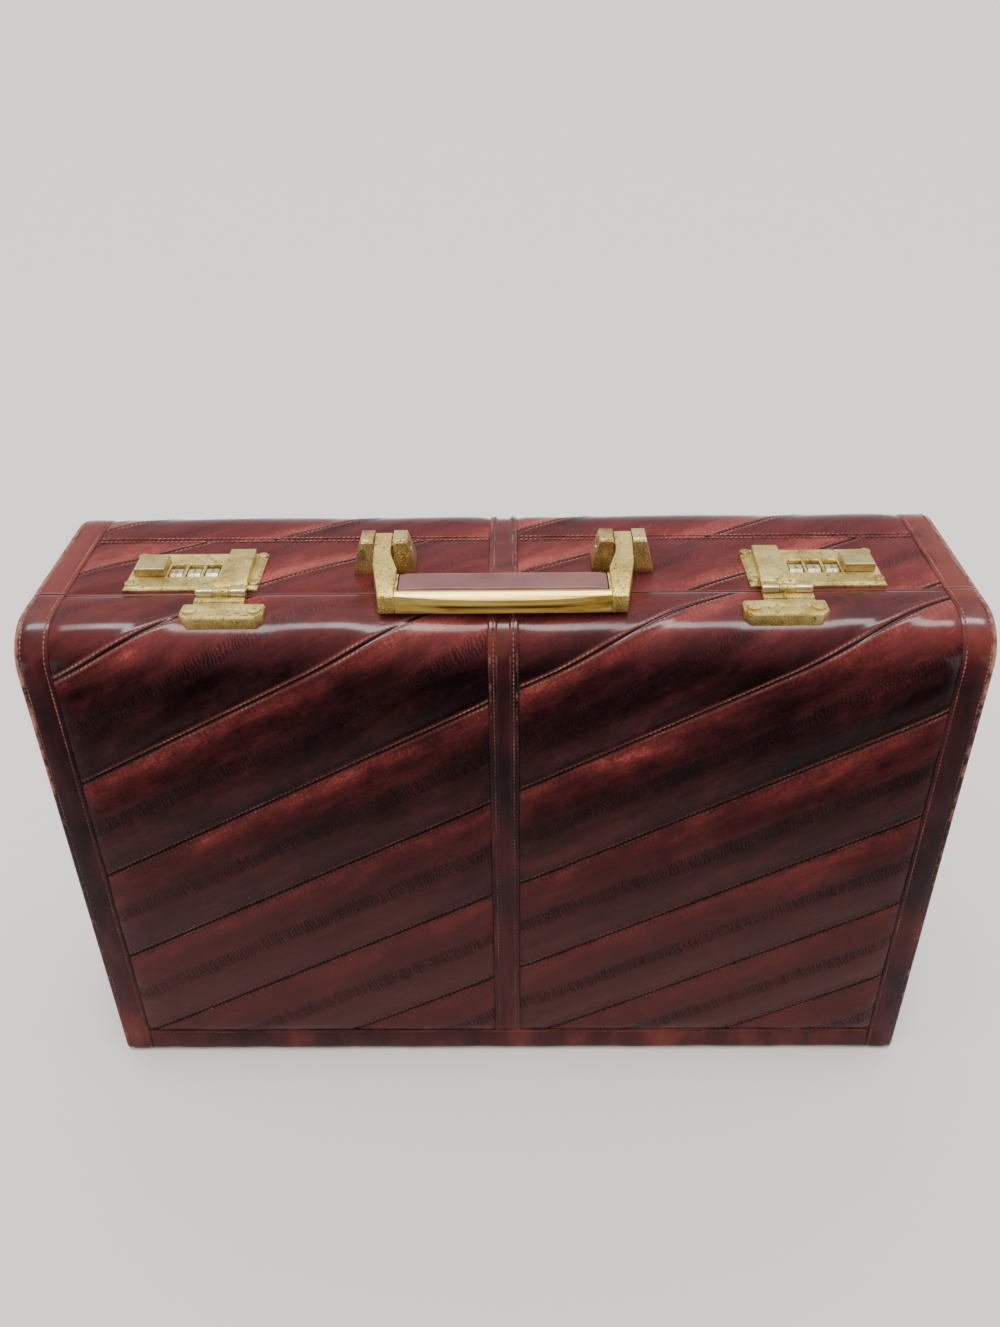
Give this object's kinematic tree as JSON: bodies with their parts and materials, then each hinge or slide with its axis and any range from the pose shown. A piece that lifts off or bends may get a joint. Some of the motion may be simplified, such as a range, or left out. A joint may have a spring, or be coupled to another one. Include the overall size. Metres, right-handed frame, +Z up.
{
  "type": "attache case",
  "caption": "Leather-covered attache case standing on its hinge side, with a folding handle, flap hasps, number-wheel locks and hinged lid stays.",
  "frame": {"origin": "on the resting plane, in the middle of the footprint", "axes": "+X along the case to the right in the picture, +Y from the lid into the base, +Z up"},
  "size_m": [0.457, 0.132, 0.3116],
  "materials": {
    "boards": "raw",
    "eel_leather": "glossy eel skin",
    "trim_leather": "satin",
    "lining_cloth": "brushed",
    "lip_board": "satin",
    "aged_brass": "antique satin",
    "steel": "bright",
    "wheel_brass": "satin with dark figures"
  },
  "bodies": {
    "base": {"base_boards": "boards", "base_band_leather": "eel_leather", "base_back_leather": "eel_leather", "base_end_bindings": "trim_leather", "base_strap": "trim_leather", "base_foot_strip": "trim_leather", "base_lining": "lining_cloth", "rim_lip": "lip_board", "hinge_leaf_base": "aged_brass", "hinge_pin": "steel", "hinge_screws_base": "aged_brass", "lock_plate_l": "aged_brass", "lock_plate_r": "aged_brass", "lock_case_l": "steel", "lock_case_r": "steel", "wheel_axles": "steel", "lock_spring_l": "steel", "lock_spring_r": "steel", "lock_screws": "aged_brass", "handle_mount_l": "aged_brass", "handle_mount_r": "aged_brass", "handle_pins": "steel", "handle_bolts": "steel", "stay_brackets_base": "aged_brass"},
    "lid": {"lid_boards": "boards", "lid_leather": "eel_leather", "lid_end_bindings": "trim_leather", "lid_strap": "trim_leather", "lid_foot_strip": "trim_leather", "lid_lining": "lining_cloth", "hinge_leaf_lid": "aged_brass", "hinge_screws_lid": "aged_brass", "hasp_plate_l": "aged_brass", "hasp_plate_r": "aged_brass", "hasp_pins": "steel", "hasp_rivets": "aged_brass", "stay_brackets_lid": "aged_brass"},
    "handle": {"handle_arm_l": "aged_brass", "handle_arm_r": "aged_brass", "grip_bar": "aged_brass", "grip_pad": "trim_leather"},
    "flap_l": {"flap_l": "aged_brass"},
    "button_l": {"lock_button_l": "aged_brass", "latch_bolt_l": "steel"},
    "number_wheel_l1": {"wheel_l1": "wheel_brass"},
    "number_wheel_l2": {"wheel_l2": "wheel_brass"},
    "number_wheel_l3": {"wheel_l3": "wheel_brass"},
    "stay_lower_l": {"stay_lower_l": "aged_brass"},
    "stay_upper_l": {"stay_upper_l": "aged_brass"},
    "flap_r": {"flap_r": "aged_brass"},
    "button_r": {"lock_button_r": "aged_brass", "latch_bolt_r": "steel"},
    "number_wheel_r1": {"wheel_r1": "wheel_brass"},
    "number_wheel_r2": {"wheel_r2": "wheel_brass"},
    "number_wheel_r3": {"wheel_r3": "wheel_brass"},
    "stay_lower_r": {"stay_lower_r": "aged_brass"},
    "stay_upper_r": {"stay_upper_r": "aged_brass"}
  },
  "joints": [
    {"name": "lid_hinge", "type": "hinge", "parent": "base", "child": "lid", "pos_m": [0, -0.0295, 0.0022], "axis": [1, 0, 0], "range_deg": [0, 100]},
    {"name": "handle_hinge", "type": "hinge", "parent": "base", "child": "handle", "pos_m": [0, -0.001, 0.3052], "axis": [-1, 0, 0], "range_deg": [0, 180]},
    {"name": "flap_hinge_l", "type": "hinge", "parent": "lid", "child": "flap_l", "pos_m": [-0.1355, -0.0321, 0.297], "axis": [1, 0, 0], "range_deg": [0, 110]},
    {"name": "button_slide_l", "type": "slide", "parent": "base", "child": "button_l", "axis": [-1, 0, 0], "range_m": [0, 0.003], "stiffness_N_per_m": 500, "springref_m": -0.001, "deforming": ["lock_spring_l"]},
    {"name": "number_wheel_turn_l1", "type": "hinge", "parent": "base", "child": "number_wheel_l1", "pos_m": [-0.1446, -0.0088, 0.28897], "axis": [1, 0, 0], "continuous": true},
    {"name": "number_wheel_turn_l2", "type": "hinge", "parent": "base", "child": "number_wheel_l2", "pos_m": [-0.1535, -0.0088, 0.28897], "axis": [1, 0, 0], "continuous": true},
    {"name": "number_wheel_turn_l3", "type": "hinge", "parent": "base", "child": "number_wheel_l3", "pos_m": [-0.1624, -0.0088, 0.28897], "axis": [1, 0, 0], "continuous": true},
    {"name": "stay_lower_pivot_l", "type": "hinge", "parent": "base", "child": "stay_lower_l", "pos_m": [-0.2155, 0.0485, 0.0522], "axis": [1, 0, 0], "range_deg": [0, 100]},
    {"name": "stay_knee_l", "type": "hinge", "parent": "stay_lower_l", "child": "stay_upper_l", "pos_m": [-0.2135, 0.0285, 0.1522], "axis": [1, 0, 0], "range_deg": [-100, 0]},
    {"name": "flap_hinge_r", "type": "hinge", "parent": "lid", "child": "flap_r", "pos_m": [0.1355, -0.0321, 0.297], "axis": [1, 0, 0], "range_deg": [0, 110]},
    {"name": "button_slide_r", "type": "slide", "parent": "base", "child": "button_r", "axis": [1, 0, 0], "range_m": [0, 0.003], "stiffness_N_per_m": 500, "springref_m": -0.001, "deforming": ["lock_spring_r"]},
    {"name": "number_wheel_turn_r1", "type": "hinge", "parent": "base", "child": "number_wheel_r1", "pos_m": [0.1446, -0.0088, 0.28897], "axis": [1, 0, 0], "continuous": true},
    {"name": "number_wheel_turn_r2", "type": "hinge", "parent": "base", "child": "number_wheel_r2", "pos_m": [0.1535, -0.0088, 0.28897], "axis": [1, 0, 0], "continuous": true},
    {"name": "number_wheel_turn_r3", "type": "hinge", "parent": "base", "child": "number_wheel_r3", "pos_m": [0.1624, -0.0088, 0.28897], "axis": [1, 0, 0], "continuous": true},
    {"name": "stay_lower_pivot_r", "type": "hinge", "parent": "base", "child": "stay_lower_r", "pos_m": [0.2155, 0.0485, 0.0522], "axis": [1, 0, 0], "range_deg": [0, 100]},
    {"name": "stay_knee_r", "type": "hinge", "parent": "stay_lower_r", "child": "stay_upper_r", "pos_m": [0.2135, 0.0285, 0.1522], "axis": [1, 0, 0], "range_deg": [-100, 0]}
  ],
  "couplings": [
    {"joint": "stay_lower_pivot_l", "follows": "lid_hinge", "ratio": 1},
    {"joint": "stay_knee_l", "follows": "lid_hinge", "ratio": -1},
    {"joint": "stay_lower_pivot_r", "follows": "lid_hinge", "ratio": 1},
    {"joint": "stay_knee_r", "follows": "lid_hinge", "ratio": -1}
  ]
}
